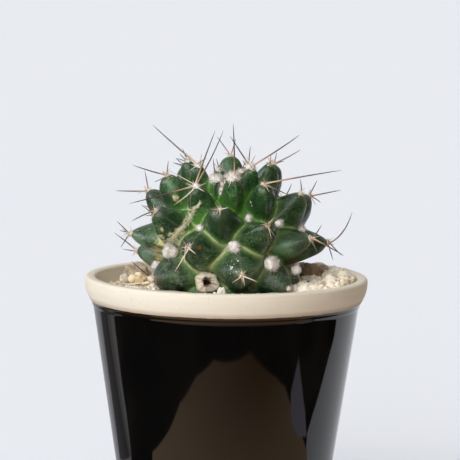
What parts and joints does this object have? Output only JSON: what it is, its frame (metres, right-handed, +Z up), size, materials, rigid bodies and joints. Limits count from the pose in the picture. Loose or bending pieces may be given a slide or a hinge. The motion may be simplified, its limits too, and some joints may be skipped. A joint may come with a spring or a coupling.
{
  "type": "potted mammillaria cactus",
  "caption": "Small spiny mammillaria cactus of clustered tubercles, set in gritty soil in a tapered black-glazed clay pot with an unglazed cream rim band.",
  "frame": {"origin": "centre of the pot's foot, on the pot's axis, at the height of the surface that it stands on", "axes": "+Z up along the pot's axis; the side that the picture shows faces -Y; +X is to its right"},
  "size_m": [0.08, 0.08, 0.1223],
  "materials": {
    "pot": "gloss black glaze on the body, bare cream clay on the rim band",
    "soil": "matt mineral grit",
    "plant": null,
    "stone_white": "matt",
    "stone_ochre": "matt",
    "stone_grey": "matt",
    "stone_brown": "matt",
    "pumice_large": "matt, porous",
    "pumice_small": "matt, porous",
    "pumice_chip": "matt, porous",
    "grain_front": "matt",
    "stone_back_left": "matt",
    "stone_back": "matt",
    "stone_back_right": "matt"
  },
  "bodies": {
    "root": {"pot": "pot", "soil": "soil", "plant": "plant", "stone_white": "stone_white", "stone_ochre": "stone_ochre", "stone_grey": "stone_grey", "stone_brown": "stone_brown", "pumice_large": "pumice_large", "pumice_small": "pumice_small", "pumice_chip": "pumice_chip", "grain_front": "grain_front", "stone_back_left": "stone_back_left", "stone_back": "stone_back", "stone_back_right": "stone_back_right"}
  },
  "joints": []
}
